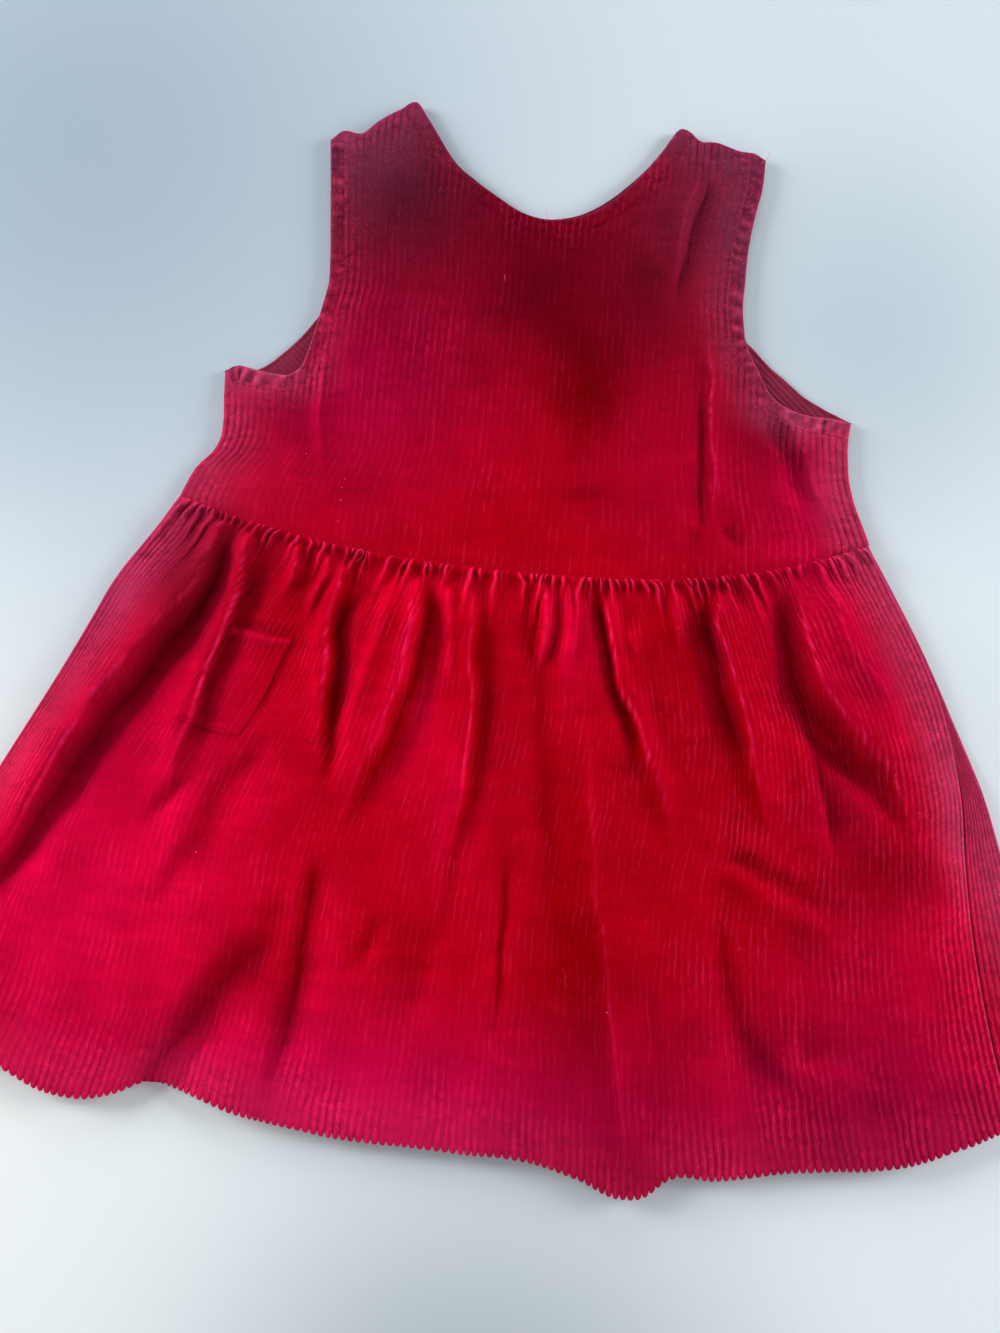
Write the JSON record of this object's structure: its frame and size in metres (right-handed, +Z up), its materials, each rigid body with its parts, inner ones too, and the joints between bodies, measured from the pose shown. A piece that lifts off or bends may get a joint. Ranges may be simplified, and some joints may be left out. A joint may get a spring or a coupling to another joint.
{
  "type": "sarafan dress",
  "caption": "Toddler's sleeveless corduroy pinafore dress with a scooped neck, wide straps, gathered flared skirt and a patch pocket, laid flat on a surface.",
  "frame": {"origin": "middle of the laid dress in plan, on the surface that it lies on", "axes": "+X towards the right of the dress as seen from above, +Y up the dress towards its neck, +Z up from the surface"},
  "size_m": [0.526, 0.4945, 0.0172],
  "materials": {
    "corduroy": "wide-wale cotton corduroy, deep crimson, brushed pile",
    "corduroy_under": "wide-wale cotton corduroy, deep crimson, seen from its inner side"
  },
  "bodies": {
    "root": {"back_bodice": "corduroy_under", "back_skirt": "corduroy_under", "front_bodice": "corduroy", "front_skirt": "corduroy", "pocket": "corduroy"}
  },
  "joints": []
}
